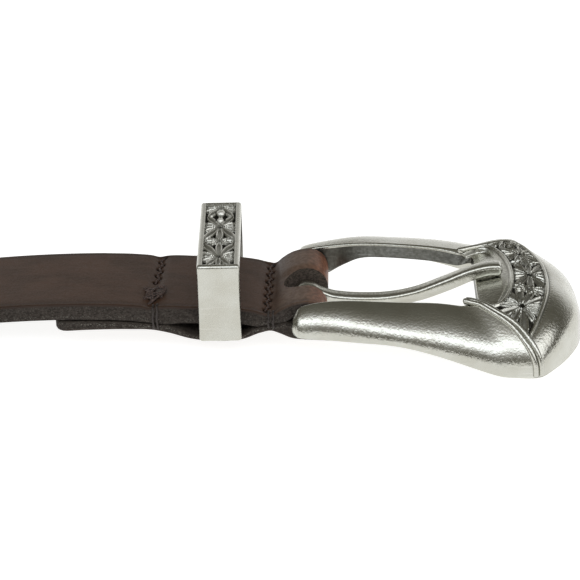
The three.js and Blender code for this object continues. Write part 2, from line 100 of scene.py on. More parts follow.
# Tunnel between the two layers for the keeper's lower bar, as x, lower z and upper z
TUNNEL = np.array([
    (-31, 7.1, 7.3), (-28, 5.9, 7.6), (-25.4, 4.75, 7.6), (-20, 4.7, 7.5), (-13.9, 4.75, 7.3),
    (-12.3, 5.9, 7), (-10.8, 6.5, 6.7),
])
TUNNEL_LOWER = 1
TUNNEL_UPPER = 2
# Space round the hinge bar, from the point where the layers part to over and under the bar, as x and z
BAR_SPACE_TOP = np.array([(-4.4, 8), (-1.2, 9.96), (0, 10.35)])
BAR_SPACE_UNDER = np.array([(-4.4, 7.95), (-1.2, 6.64), (0, 6.25)])

# Sizes of the stitches

# Rows of stitches: x at the belt's middle, change of x with y, first and last y, pull of the thread
STITCH_ROWS = (
    {"x": -34.3, "lean": 0.03, "far": 11.6, "near": -2.0, "pull": 0.3},
    {"x": -8.6, "lean": 0.01, "far": 11.6, "near": -11.0, "pull": 0.45},
)
STITCH_PITCH = 1.7
STITCH_SWING = 0.4
STITCH_ARCH = 0.6
STITCH_END_DEPTH = 0.35
THREAD_RADIUS = 0.28
# Threads over the near edge, as x and the height where they end
EDGE_THREADS = ((-34.1, 6.4), (-33.2, 6.4), (-8.3, 6.6), (-7.2, 6.6))
# Loop of thread left standing where the first row is tied off, as x, y and height over the face
TIE_LOOP = np.array([
    (-35.2, -8, -0.3), (-35.3, -6.8, 0.3), (-34.9, -5.8, 0.5), (-34.2, -4.9, 0.7), (-33.2, -4.5, 0.85),
    (-32.2, -4.8, 0.85), (-31.8, -5.8, 0.7), (-32.4, -7.7, 0.5), (-33.9, -9.4, 0.4), (-35, -10.4, -0.2),
])
SECOND_THREAD = (0.42, 0.25, 0.12)
KNOT_X = -34.6
KNOT_Y = -4.6
KNOT_TURNS = 10
KNOT_TURN_PITCH = 0.5

# Sizes of the buckle

BAR_RADIUS = 1.75
BAR_HALF_LENGTH = 14.6
RUNNING_GAP = 0.3
SHELL_WALL = 2.6
RIM_WALL = 1.5
LIP_DRAFT = 1.15
LIP_RADIUS = 0.3
# Half cross sections of the shell from a rail's free end to the middle of the tip: points of the lip, crest
# and rim, then how boxy the outer side is, its slope, the filling's height at the lip and the filling's share
SECTION_NAMES = "lipX lipY lipZ crestX crestY crestZ rimX rimY rimZ power slope inner fill".split()
SECTIONS = np.array([
    (-2.95, 15.9, 8.9, -2.95, 16.1, 9, -2.95, 16.4, 8.7, 2.1, 0.1, 8.6, 1),
    (-2.7, 15.2, 10, -2.7, 15.7, 10.3, -2.7, 17.3, 7.8, 2.1, 0.15, 7.6, 1),
    (-1.9, 14.3, 11.3, -1.9, 14.9, 11.7, -1.9, 18.2, 7.2, 2.2, 0.2, 6.8, 1),
    (-0.4, 13.7, 12.4, -0.4, 14.3, 12.8, -0.4, 18.8, 6.95, 2.3, 0.2, 6.4, 1),
    (5.2, 13.5, 13.5, 5.2, 14.1, 13.85, 5.2, 19.8, 7.1, 2.4, 0.2, 6.9, 1),
    (12.5, 13.9, 13.8, 12.5, 14.5, 14.2, 12.5, 21.6, 7.4, 2.4, 0.2, 9.5, 0.15),
    (20.9, 13.9, 13.5, 20.9, 14.6, 13.9, 20.9, 22.8, 7.1, 2.4, 0.24, 11, 0),
    (29.5, 13.8, 12.7, 29.7, 14.6, 13.15, 31.4, 23.9, 4.6, 2.5, 0.3, 11, 0),
    (34.4, 13.4, 11.9, 35.2, 14.6, 12.4, 41.4, 24.4, 1.1, 3, 0.4, 11, 0),
    (36.4, 12.6, 12.1, 38.4, 14.5, 12.6, 46, 24.55, 0.4, 3.4, 0.46, 11, 0),
    (38, 12.2, 12.5, 41.6, 14.6, 13.1, 51, 24.5, 0.3, 3.2, 0.4, 10.6, 0),
    (38.4, 10.9, 12.2, 43.8, 12.8, 13.3, 54.3, 21.9, 0.3, 2.7, 0.3, 9.8, 0),
    (38.4, 7.8, 12.2, 45.4, 9, 13.5, 58, 16.9, 0.3, 2.8, 0.14, 9.8, 0),
    (38.4, 4, 12.2, 46.4, 4.8, 13.6, 61.9, 8.6, 0.2, 2.9, 0.08, 9.8, 0),
    (38.4, 0, 12.2, 46.8, 0, 13.6, 62.8, 0, 0, 2.9, 0.06, 9.8, 0),
])
RIDGE_ROW = 10
# Where the two sides differ, as first row, row after the last, column, factor and addition: the far rail is
# fuller, the cap is fuller on its near side, and the near rail stands higher before the ribs
RING_CHANGES = (
    (0, 8, "power", 1, 0.8), (0, 6, "slope", 0, 0), (6, 12, "slope", 0.35, 0), (11, 13, "power", 1, 0.3),
    (15, 18, "power", 1, 0.5), (19, 22, "lipZ", 1, 0.5), (19, 22, "crestZ", 1, 0.5),
)
BAND_CENTRE_X = 11.2
BAND_OUTER_RADIUS = 43.4
# Flowers of the band: y of the middle, reach towards the far side and the near side
BAND_FLOWERS = (
    (-13.7, 6.6, 7.5), (-0.7, 5.8, 6.6), (10.4, 4.4, 5.9), (17.2, 3.5, 3.4), (-7.3, 1.7, 1.7),
    (5.5, 1.3, 1.3),
)
BAND_FLOWER_HALF = 4.9
FIELD_DEPTH = 0.45
PETAL_RISE = 1.2
BEAD_RADIUS = 0.42
BEAD_SPAN = 0.05
GROOVE_DEPTH = 0.15
PLATE_DEPTH = 0.1
PLATE_DOME = 0.0062
RIDGE_RADIUS = 0.62
RIDGE_SHIFT = 0.3
RIDGE_BEND_FROM = 0.55
RIDGE_BEND = 0.75
RIDGE_NOSE_BEND = 0.95
# How dark the mask paints the lip's wall, the shell's inner face and the ribs: painted shade
LIP_WALL_SHADE = 0.67
INSIDE_SHADE = 0.35
RIB_SHADE = 0.05

# Sizes of the prong

EYE_RADIUS = 3.15
PRONG_HALF_WIDTH = 1.75
PRONG_THICKNESS = 2.9
PRONG_BELLY = 0.32
PRONG_END_ROUND = 0.7
# Upper face of the prong, as x and z
PRONG_TOP = np.array([
    (0, 11.55), (1.8, 11.1), (3.8, 9.8), (5.7, 9), (8.8, 8.5), (13, 8.3), (18.4, 8.5), (24.6, 9.8),
    (31.2, 12.5), (37.6, 15.3), (41, 16.2), (44.5, 16.4),
])

# Sizes of the keeper

KEEPER_X = -19.5
KEEPER_TURN = radians(2.2)
KEEPER_LENGTH = 9.4
KEEPER_HALF_WIDTH = 16.6
KEEPER_LOW = 4.95
KEEPER_HIGH = 24.0
KEEPER_SIDE_WALL = 1.7
KEEPER_ROOF = 1.9
KEEPER_FLOOR = 1.5
KEEPER_CORNER = 0.8
KEEPER_ROOF_ROUND = 0.8
KEEPER_FLOOR_ROUND = 0.5
KEEPER_EDGE = 0.7
# How dark the mask paints the keeper's inside: painted shade
KEEPER_INSIDE_SHADE = 0.2
KEEPER_BORDER = 1.15
KEEPER_END_BORDER = 0.95
KEEPER_DEPTH = 1.0
# Numbers of points along the roof, the far side, the floor and the near side
KEEPER_COUNTS = (240, 40, 30, 40)
# Flowers on the keeper's roof: y of the middle, reach towards the near edge and the far one
KEEPER_FLOWERS = ((-11.0, 4.6, 6.3), (3.9, 6.8, 5.2), (14.0, 5.0, 1.8), (-3.4, 1.3, 1.3))
# Round petals of the two far flowers: y of the middle and radius
KEEPER_BALLS = ((7.2, 0.95), (11.3, 1.2))

# Flowers of both reliefs

PETAL_COUNT = 12
SHORTEST_PETAL = 1.2
FLOWER_HEART = 0.35
PETAL_ROOT_WIDTH = 0.12
PETAL_WIDENING = 0.097
PETAL_HOLLOW = 0.65

# Colours

SILVER_DULL = (0.495, 0.487, 0.43, 1)
SILVER_CLEAN = (0.545, 0.543, 0.492, 1)
# Polished edges of the leaves, painted brighter as a highlight
SILVER_POLISH_AND_HIGHLIGHT = (0.93, 0.92, 0.86, 1)
SILVER_SCRATCH = (0.75, 0.74, 0.70, 1)
# Dark of the mask: tarnish in the relief's gaps, and painted shade on the lip's wall and the inner faces
TARNISH_AND_PAINTED_SHADE = (0.035, 0.033, 0.026, 1)
BROWN_DARK = (0.054, 0.029, 0.017, 1)
BROWN_LIGHT = (0.078, 0.041, 0.025, 1)
BROWN_STREAK = (0.082, 0.048, 0.032, 1)
RED_DARK = (0.17, 0.055, 0.028, 1)
RED_LIGHT = (0.26, 0.105, 0.055, 1)
WAX = (0.17, 0.115, 0.082, 1)
# Painted shade in the stitch holes and along the rolled edge, and darker along the creased line
PAINTED_SHADE_AND_CREASE = (0.012, 0.008, 0.006, 1)
FUZZ = (0.15, 0.14, 0.12, 1)
THREAD_SHADOW = (0.016, 0.009, 0.007, 1)

# Light and camera

# Half size and height of the floor, in metres
FLOOR_REACH = 6.0
FLOOR_HEIGHT = -0.0002
# Brightness of the studio by the angle over the floor, from the camera's side over the top to the far side
SKY = (
    (0, 0.16), (12, 0.2), (24, 0.4), (34, 0.9), (42, 2.5), (54, 2.5), (62, 1.0), (72, 0.45), (85, 0.24),
    (102, 0.16), (138, 0.12), (149, 0.3), (157, 0.85), (180, 1.0),
)
SKY_BRIGHTEST = 2.5
SKY_SIDES = 0.12
SKY_SIDES_FROM = 0.6
# Second soft light on the right: direction towards it and the cosines of where it begins and is full
RIGHT_LIGHT = (0.78, -0.38, 0.50)
RIGHT_LIGHT_FROM = 0.9
RIGHT_LIGHT_FULL = 0.97
RIGHT_LIGHT_COLOUR = (0.75, 0.76, 0.78, 1)
CAMERA_ELEVATION = radians(28.0)
CAMERA_YAW = radians(2.2)
CAMERA_ROLL = radians(1.05)
CAMERA_DISTANCE = 419
# Where the camera looks, from the hinge bar's axis
CAMERA_AIM = (-3.8, 0, 9.3)
# Focal length in widths of the frame
LENS_IN_FRAMES = 1824 / 580


# Curves

def smoothstep(low, high, value):
    """0 below low, 1 above high and a smooth way between."""
    t = np.clip((value - low) / (high - low), 0, 1)
    return t * t * (3 - 2 * t)


def bump(value, centre, width):
    """A round hill of height 1 over centre."""
    return np.exp(-(((value - centre) / width) ** 2))


def unit(vectors):
    """Vectors of length 1 in the same directions."""
    return vectors / np.maximum(np.linalg.norm(vectors, axis=-1, keepdims=True), 1e-9)


def on_circle(angles, radius):
    """Points of a circle round the origin."""
    return radius * np.column_stack([np.cos(angles), np.sin(angles)])


def spline(rows, s):
    """Smooth curve through the rows of an array at positions s, counted in rows."""
    count = len(rows)
    matrix = 4 * np.eye(count) + np.eye(count, k=1) + np.eye(count, k=-1)
    matrix[0, 0] = matrix[-1, -1] = 2
    rise = np.empty_like(rows)
    rise[1:-1] = 3 * (rows[2:] - rows[:-2])
    rise[0] = 3 * (rows[1] - rows[0])
    rise[-1] = 3 * (rows[-1] - rows[-2])
    slopes = np.linalg.solve(matrix, rise)
    k = np.clip(np.floor(s).astype(int), 0, count - 2)
    t = (s - k)[..., None]
    step = rows[k + 1] - rows[k]
    bend = t * (1 - t) * ((1 - t) * (slopes[k] - step) - t * (slopes[k + 1] - step))
    return rows[k] + step * t + bend


def height_at(line, x, column=1):
    """Height at x of a smooth curve through the points of a line."""
    xs, zs = line[:, 0], line[:, column]
    slopes = np.gradient(zs, xs)
    inside = np.clip(x, xs[0], xs[-1])
    k = np.clip(np.searchsorted(xs, inside, side="right") - 1, 0, len(xs) - 2)
    width = xs[k + 1] - xs[k]
    t = (inside - xs[k]) / width
    rise = zs[k + 1] - zs[k]
    bend = t * (1 - t) * ((1 - t) * (slopes[k] * width - rise) - t * (slopes[k + 1] * width - rise))
    return zs[k] + rise * t + bend


def strap_top(x):
    """Height of the strap's upper face."""
    t = np.clip((x - LIFT_FROM) / (CREST_X - LIFT_FROM), 0, 1)
    lifted = STRAP_THICKNESS + (CREST_HEIGHT - STRAP_THICKNESS) * (1 - np.cos(np.pi * t)) / 2
    return np.where(x < CREST_X, lifted, height_at(TOP_LINE, x))


def ripple(a, b, seed, waves=7, longest=30.0, shortest=7.0):
    """Gentle unevenness between about -1 and 1 over a surface measured by a and b."""
    rng = np.random.default_rng(seed)
    total = np.zeros(np.broadcast(a, b).shape)
    for _ in range(waves):
        length = rng.uniform(shortest, longest)
        turn = rng.uniform(0, pi)
        phase = rng.uniform(0, 2 * pi)
        total += np.sin((a * cos(turn) + b * sin(turn)) * 2 * pi / length + phase)
    return total / sqrt(waves)


# Meshes

def new_mesh(name, parts, materials, smooth=True):
    """A mesh in metres from parts: points in millimetres, faces and the faces' material slots."""
    points, faces, slots = [], [], []
    first = 0
    for part_points, part_faces, slot_of_face in parts:
        points.append(part_points.reshape(-1, 3))
        faces += [[first + corner for corner in face] for face in part_faces]
        slots += list(np.broadcast_to(slot_of_face, len(part_faces)))
        first += len(points[-1])
    mesh = bpy.data.meshes.new(name)
    mesh.from_pydata(((np.vstack(points) + (BAR_X, 0, 0)) * MM).tolist(), [], faces)
    for material in materials:
        mesh.materials.append(material)
    mesh.polygons.foreach_set("material_index", np.array(slots, dtype=np.int32))
    mesh.polygons.foreach_set("use_smooth", np.full(len(faces), smooth))
    mesh.update()
    return mesh


def new_object(name, data):
    """An object in the scene."""
    made = bpy.data.objects.new(name, data)
    bpy.context.scene.collection.objects.link(made)
    return made


def piece(name, parts, node, materials, masks=(), replaced=True):
    """A shown object riding with a CAD node's body; a mask gives the materials one number per point."""
    made = new_object(name, new_mesh(name, parts, materials))
    for mask, values in masks:
        attribute = made.data.attributes.new(mask, "FLOAT", "POINT")
        attribute.data.foreach_set("value", np.asarray(values, np.float32).ravel())
    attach(made, BODY_OF[node])
    if replaced:
        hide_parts(node)
    return made


def lofted(loops, slots=0, closed=False):
    """A part of closed loops joined one to the next, with flat ends unless it closes on itself."""
    count, size = loops.shape[:2]
    i, j = np.meshgrid(np.arange(count if closed else count - 1), np.arange(size), indexing="ij")
    a = i * size + j
    b = i * size + (j + 1) % size
    c = ((i + 1) % count) * size + (j + 1) % size
    d = ((i + 1) % count) * size + j
    faces = np.stack([a, b, c, d], -1).reshape(-1, 4).tolist()
    if not closed:
        faces.append(list(range(size))[::-1])
        faces.append(list(range((count - 1) * size, count * size)))
    return loops, faces, slots


def tube(path, radius, sides=8):
    """Loops of a round tube along a path; radius is one number or one for each point."""
    path = np.asarray(path, float)
    along = unit(np.gradient(path, axis=0))
    side = unit(np.cross(along, (0.31, 0.17, 0.94)))
    up = np.cross(side, along)
    angle = np.linspace(0, 2 * pi, sides, endpoint=False)
    reach = np.broadcast_to(radius, len(path))[:, None, None]
    spokes = side[:, None] * np.cos(angle)[None, :, None] + up[:, None] * np.sin(angle)[None, :, None]
    return path[:, None] + spokes * reach


# Materials

class Nodes:
    """A node tree with short ways to add nodes and to feed their sockets."""

    def __init__(self, tree):
        self.tree = tree

    def node(self, kind, inputs=(), **settings):
        made = self.tree.nodes.new("ShaderNode" + kind)
        for name, value in settings.items():
            setattr(made, name, value)
        for key, value in dict(inputs).items():
            self.feed(made.inputs[key], value)
        return made

    def feed(self, socket, value):
        if isinstance(value, bpy.types.NodeSocket):
            self.tree.links.new(value, socket)
        else:
            socket.default_value = value

    def math(self, operation, *values, clamp=False):
        return self.node("Math", enumerate(values), operation=operation, use_clamp=clamp).outputs[0]

    def vector(self, operation, inputs):
        return self.node("VectorMath", inputs, operation=operation).outputs

    def spread(self, value, low, high, out_low=0.0, out_high=1.0):
        """Maps low to high of a value onto an output range, smoothly and clamped."""
        inputs = {"Value": value, "From Min": low, "From Max": high, "To Min": out_low, "To Max": out_high}
        return self.node("MapRange", inputs, interpolation_type="SMOOTHSTEP").outputs[0]

    def mix(self, share, first, second):
        return self.node("Mix", {0: share, 6: first, 7: second}, data_type="RGBA").outputs[2]


class Shader(Nodes):
    """A material's node tree with its principled surface."""

    def __init__(self, name):
        self.material = bpy.data.materials.new(name)
        self.material.use_nodes = True
        super().__init__(self.material.node_tree)
        place = self.node("TexCoord").outputs["Object"]
        self.place = self.vector("SCALE", {0: place, "Scale": 1 / MM})[0]

    def noise(self, size, detail=2.0, stretch=(1, 1, 1), roughness=0.5):
        """Noise between 0 and 1 whose patches are about size millimetres wide."""
        place = self.vector("MULTIPLY", {0: self.place, 1: tuple(1 / (size * k) for k in stretch)})[0]
        inputs = {"Vector": place, "Scale": 1.0, "Detail": detail, "Roughness": roughness}
        return self.node("TexNoise", inputs).outputs["Fac"]

    def mask(self, name):
        return self.node("Attribute", attribute_name=name).outputs["Fac"]

    def bump(self, height, distance, strength=1.0, normal=None):
        inputs = {"Height": height, "Distance": distance * MM, "Strength": strength}
        if normal is not None:
            inputs["Normal"] = normal
        return self.node("Bump", inputs).outputs[0]

    def finish(self, **inputs):
        surface = self.tree.nodes["Principled BSDF"]
        for name, value in inputs.items():
            self.feed(surface.inputs[name.replace("_", " ")], value)
        return self.material


def silver(name, roughness, pitting):
    """Antiqued silver plate: satin and finely pitted; dark where the mask is high, as tarnish in the relief's
    gaps and painted shade on inner walls and undersides; below 0 polished and painted bright as a highlight.
    """
    mat = Shader(name)
    grain = mat.noise(0.5, detail=3.0)
    cloud = mat.noise(6.0)
    # Mask: tarnish and painted shade above 0, polish with a painted highlight below 0
    depth = mat.mask("patina_and_painted_light")
    clean = mat.mix(mat.spread(cloud, 0.3, 0.7), SILVER_DULL, SILVER_CLEAN)
    uneven = mat.math("MULTIPLY_ADD", mat.noise(0.8), 0.16, mat.math("SUBTRACT", depth, 0.08))
    # Tarnish in the gaps, and painted shade on the lip's wall and the inner faces
    colour = mat.mix(mat.spread(uneven, 0.25, 0.85), clean, TARNISH_AND_PAINTED_SHADE)
    # Polished edges painted brighter as a highlight
    colour = mat.mix(mat.spread(depth, -0.1, -0.8), colour, SILVER_POLISH_AND_HIGHLIGHT)
    scratches = mat.spread(mat.noise(0.5, stretch=(28, 1, 1)), 0.6, 0.75)
    colour = mat.mix(mat.math("MULTIPLY", scratches, 0.25), colour, SILVER_SCRATCH)
    gloss = mat.spread(grain, 0.35, 0.65, roughness - 0.04, roughness + 0.06)
    worn = mat.math("MULTIPLY_ADD", mat.math("ABSOLUTE", depth), 0.3, gloss, clamp=True)
    pits = mat.bump(grain, 0.085 * pitting, 0.7)
    waves = mat.bump(mat.noise(3.0, detail=1.0), 0.03, 0.5, normal=pits)
    return mat.finish(Base_Color=colour, Metallic=1.0, Roughness=worn, Normal=waves)


def leather_face(name):
    """Grain side: mottled dark brown, waxed near the turn and burnished reddish round the bar."""
    mat = Shader(name)
    along = mat.node("SeparateXYZ", {0: mat.place}).outputs[0]
    from_bar = mat.math("SUBTRACT", along, BAR_X)
    mottle = mat.noise(5.0, detail=4.0, stretch=(1.8, 1, 1))
    fine = mat.noise(0.9, detail=4.0)
    streak = mat.noise(1.2, stretch=(9, 1, 1))
    brown = mat.mix(mat.spread(mottle, 0.3, 0.7), BROWN_DARK, BROWN_LIGHT)
    brown = mat.mix(mat.spread(streak, 0.45, 0.75, 0.0, 0.5), brown, BROWN_STREAK)
    near_turn = mat.spread(from_bar, -9.0, -3.0)
    waxed = mat.math("MULTIPLY", near_turn, mat.spread(fine, 0.3, 0.7, 0.35, 0.8))
    brown = mat.mix(waxed, brown, WAX)
    red = mat.mix(mat.spread(fine, 0.35, 0.65), RED_DARK, RED_LIGHT)
    turned = mat.spread(mat.math("MULTIPLY_ADD", fine, 5.0, from_bar), 1.5, 8.5)
    colour = mat.mix(mat.math("MULTIPLY", turned, 0.85), brown, red)
    # Painted shade where the mask says dark: in the stitch holes and along the rolled edge; darker along the
    # creased line
    colour = mat.mix(mat.mask("dark"), colour, PAINTED_SHADE_AND_CREASE)
    pores = mat.noise(0.35, detail=3.0)
    rough = mat.spread(pores, 0.3, 0.7, 0.42, 0.56)
    grain = mat.bump(fine, 0.09, 0.5, normal=mat.bump(pores, 0.05, 0.5))
    return mat.finish(Base_Color=colour, Roughness=rough, Normal=grain, Specular_IOR_Level=0.24)


def leather_edge(name, light, dark):
    """Cut edge or flesh side: matt and fibrous, with light specks where the mask says fuzz."""
    mat = Shader(name)
    fibre = mat.noise(0.4, detail=5.0, stretch=(1.6, 1, 1), roughness=0.75)
    colour = mat.mix(mat.spread(fibre, 0.35, 0.65), dark, light)
    ends = mat.spread(mat.noise(0.3, detail=3.0), 0.52, 0.66)
    specks = mat.math("MULTIPLY", ends, mat.math("MULTIPLY_ADD", mat.mask("fuzz"), 0.8, 0.2))
    colour = mat.mix(specks, colour, FUZZ)
    grain = mat.bump(fibre, 0.3, 0.8)
    return mat.finish(Base_Color=colour, Roughness=0.8, Normal=grain, Specular_IOR_Level=0.25)


def thread_material(name, light):
    """Waxed thread with twisted strands."""
    mat = Shader(name)
    twist = mat.noise(0.22)
    colour = mat.mix(mat.spread(twist, 0.4, 0.62), THREAD_SHADOW, light)
    return mat.finish(Base_Color=colour, Roughness=0.55, Normal=mat.bump(twist, 0.12, 0.8))


CAST_SILVER = silver("cast_silver", roughness=0.19, pitting=1.0)
KEEPER_SILVER = silver("keeper_silver", roughness=0.26, pitting=0.15)
PRONG_SILVER = silver("prong_silver", roughness=0.20, pitting=0.6)
LEATHER = leather_face("leather_face")
EDGE = leather_edge("leather_edge", light=(0.048, 0.038, 0.031, 1), dark=(0.014, 0.010, 0.007, 1))
FLESH = leather_edge("leather_flesh", light=(0.06, 0.048, 0.038, 1), dark=(0.03, 0.023, 0.018, 1))
CUT = leather_edge("leather_cut", light=(0.10, 0.078, 0.062, 1), dark=(0.03, 0.022, 0.016, 1))
THREAD = thread_material("thread", light=(0.12, 0.074, 0.058, 1))
# Painted shade: a darker copy of the thread for its turns down the near edge's side
SHADED_THREAD = thread_material("shaded_thread", light=(0.035, 0.026, 0.02, 1))


# Flower relief

def flower_height(u, v, left, right, half):
    """Height, 0 to 1, of a flower of hollow leaves in a cell round the origin of u and v."""
    height = np.zeros(np.shape(u))
    for angle in np.arange(PETAL_COUNT) * 2 * pi / PETAL_COUNT:
        cosine, sine = cos(angle), sin(angle)
        side_room = (right if cosine > 0 else left) / max(abs(cosine), 0.01)
        reach = min(side_room, half / max(abs(sine), 0.01))
        if reach < SHORTEST_PETAL:
            continue
        t = (u * cosine + v * sine - FLOWER_HEART) / (reach - FLOWER_HEART)
        inside = np.clip(t, 0.001, 0.999)
        width = (PETAL_ROOT_WIDTH + PETAL_WIDENING * reach) * np.sin(np.pi * inside ** 1.35) ** 0.7
        q = np.abs(v * cosine - u * sine) / np.maximum(width, 0.05)
        edge = smoothstep(1.25, 0.9, q) * smoothstep(-0.02, 0.1, t) * smoothstep(1.03, 0.95, t)
        height = np.maximum(height, edge * (1 - PETAL_HOLLOW * (1 - np.clip(q, 0, 1) ** 2)))
    return height


def patina_and_painted_light_of(flowers):
    """Tarnish in the gaps between the leaves, and below 0 where their edges are polished and painted bright
    as a highlight.
    """
    return 1 - 0.5 * smoothstep(0.05, 0.3, flowers) - 1.4 * smoothstep(0.5, 0.75, flowers)


# Buckle

# Rows of the whole shell, from the far rail's free end round the tip to the near rail's
MIRROR = [-1 if name.endswith("Y") else 1 for name in SECTION_NAMES]
RING = np.vstack([SECTIONS, SECTIONS[-2::-1] * MIRROR])
LAST_ROW = len(RING) - 1
for first, end, name, factor, addition in RING_CHANGES:
    column = SECTION_NAMES.index(name)
    RING[first:end, column] = RING[first:end, column] * factor + addition


def section(s):
    """Named values of the cross section at ring position s."""
    return dict(zip(SECTION_NAMES, np.moveaxis(spline(RING, np.clip(s, 0, LAST_ROW)), -1, 0)))


def shell_point(s, f):
    """Point of the outer face at ring position s; f is -1 at the lip, 0 at the crest and 1 at the rim."""
    s, f = np.broadcast_arrays(s, f)
    row = section(s)
    corner = {part: np.stack([row[part + axis] for axis in "XYZ"], -1) for part in ("lip", "crest", "rim")}
    end = np.where((f < 0)[..., None], corner["lip"], corner["rim"])
    point = corner["crest"] + (end - corner["crest"]) * np.abs(f)[..., None]
    inward = row["crestZ"] - (row["crestZ"] - row["lipZ"]) * f ** 2
    power = row["power"]
    fall = np.maximum(0, 1 - np.abs(f) ** power) ** (1 / power) * (1 - row["slope"] * np.abs(f))
    outward = row["rimZ"] + (row["crestZ"] - row["rimZ"]) * fall
    point[..., 2] = np.where(f < 0, inward, outward)
    return point


def shell_normal(s, f):
    """Outward direction of the outer face."""
    step = 0.01
    s, f = np.broadcast_arrays(np.clip(s, step, LAST_ROW - step), np.clip(f, -1 + step, 1 - step))
    along = shell_point(s + step, f) - shell_point(s - step, f)
    across = shell_point(s, f + step) - shell_point(s, f - step)
    return unit(np.cross(along, across))


def shell_stretch(s, f, along=0.0, across=0.0):
    """Length on the outer face of one unit of s, for a step along, or of f, for one across."""
    reach = shell_point(s + along, f + across) - shell_point(s - along, f - across)
    return np.linalg.norm(reach, axis=-1) / (2 * (along + across))


def inner_point(s, f):
    """Inner face of the shell: drafted under the lip, thinner at the rim, filled near the rails' ends."""
    row = section(s)
    normal = shell_normal(s, f)
    normal[..., 2] = np.where(f >= 0.999, 0, normal[..., 2])
    down = np.maximum(-f, 0)[..., None]
    normal = unit(normal * (1 - down) + np.array((0, 0, 1.0)) * down)
    wall = SHELL_WALL + (RIM_WALL - SHELL_WALL) * np.maximum(f, 0)
    hollow = shell_point(s, f) - normal * wall[..., None]
    t = (f + 1) / 2
    filled = np.stack([
        row["lipX"] + (row["rimX"] - row["lipX"]) * t,
        row["lipY"] + (row["rimY"] - row["lipY"]) * t * 0.93,
        row["inner"] + (row["rimZ"] - row["inner"]) * t,
    ], -1)
    fill = np.clip(row["fill"], 0, 1)[..., None]
    point = hollow * (1 - fill) + filled * fill
    away = unit(np.stack([row["lipX"] - row["crestX"], row["lipY"] - row["crestY"]], -1))
    on_rail = smoothstep(RIDGE_ROW + 0.5, RIDGE_ROW - 1, np.minimum(s, LAST_ROW - s))
    draft = LIP_DRAFT * np.maximum(-f, 0) ** 4 * smoothstep(6, 10, row["lipX"]) * on_rail
    point[..., :2] += away * draft[..., None]
    return point


def band_edge(s):
    """How far from crest to rim the flower band's outer edge lies at s."""
    row = section(s)
    start = np.stack([row["crestX"] - BAND_CENTRE_X, row["crestY"]], -1)
    reach = np.stack([row["rimX"] - row["crestX"], row["rimY"] - row["crestY"]], -1)
    square = (reach ** 2).sum(-1)
    half = (start * reach).sum(-1) / square
    room = (BAND_OUTER_RADIUS ** 2 - (start ** 2).sum(-1)) / square
    return -half + np.sqrt(np.maximum(half ** 2 + room, 0))


def band_flowers(points):
    """Height share of the band's flowers at points of the outer face."""
    flowers = np.zeros(points.shape[:2])
    s = np.linspace(RIDGE_ROW, LAST_ROW - RIDGE_ROW, 600)
    y = shell_point(s, band_edge(s) / 2)[:, 1]
    for middle_y, far_reach, near_reach in BAND_FLOWERS:
        centre_s = s[np.abs(y - middle_y).argmin()]
        centre_f = band_edge(centre_s) / 2
        centre = shell_point(centre_s, centre_f)
        u_axis = unit(shell_point(centre_s + 0.05, centre_f) - shell_point(centre_s - 0.05, centre_f))
        v_axis = np.cross(shell_normal(centre_s, centre_f), u_axis)
        offset = points - centre
        flower = flower_height(offset @ u_axis, offset @ v_axis, far_reach, near_reach, BAND_FLOWER_HALF)
        flowers = np.maximum(flowers, flower)
    return flowers


def ridge_row(f):
    """Ring position of the double ridge at f: it bends towards the rail on its way to the lip."""
    before_lip = np.maximum(RIDGE_BEND_FROM - np.maximum(f, 0), 0) / RIDGE_BEND_FROM
    return RIDGE_ROW - RIDGE_BEND * before_lip ** 2 - RIDGE_NOSE_BEND * np.maximum(-f, 0)


def buckle_relief(s, f, points):
    """How far the cast relief lifts the outer face; its mask is tarnish in the gaps, darker along the
    grooves, and polished edges painted bright as a highlight.
    """
    per_row = shell_stretch(s, f, along=0.02)
    per_crossing = shell_stretch(s, f, across=0.02)
    past_ridge = (np.minimum(s, LAST_ROW - s) - ridge_row(f)) * per_row - RIDGE_SHIFT
    past_crest = f * per_crossing
    past_edge = (f - band_edge(s)) * per_crossing
    in_band = (smoothstep(0.9, 1.15, past_ridge) * smoothstep(0.4, 0.6, past_crest)
               * smoothstep(-0.4, -0.6, past_edge))
    flowers = band_flowers(points)
    height = in_band * (PETAL_RISE * flowers - FIELD_DEPTH)
    dark = in_band * patina_and_painted_light_of(flowers)
    on_band = smoothstep(0.2, 0.5, past_ridge)
    for distance in (past_crest, past_edge):
        bead = np.sqrt(np.maximum(BEAD_RADIUS ** 2 - distance ** 2, 0))
        height = np.maximum(height, on_band * bead)
        groove = on_band * bump(np.abs(distance), BEAD_RADIUS + 0.25, 0.2)
        height -= GROOVE_DEPTH * groove
        dark = np.maximum(dark, 0.7 * groove)
    on_plate = smoothstep(0.7, 1.5, past_ridge) * smoothstep(-0.7, -1.4, past_crest)
    height -= (PLATE_DEPTH + PLATE_DOME * points[..., 1] ** 2) * on_plate
    groove = bump(np.abs(past_ridge), 1.15, 0.3) + bump(past_ridge, 0, 0.3)
    dark = np.maximum(dark, 0.6 * groove * smoothstep(-0.98, -0.9, f))
    lip = np.clip(1 - (f + 1) * per_crossing / LIP_RADIUS, 0, 1)
    height -= LIP_RADIUS * (1 - np.sqrt(1 - 0.98 * lip ** 2))
    return height, np.clip(dark, -1, 1)


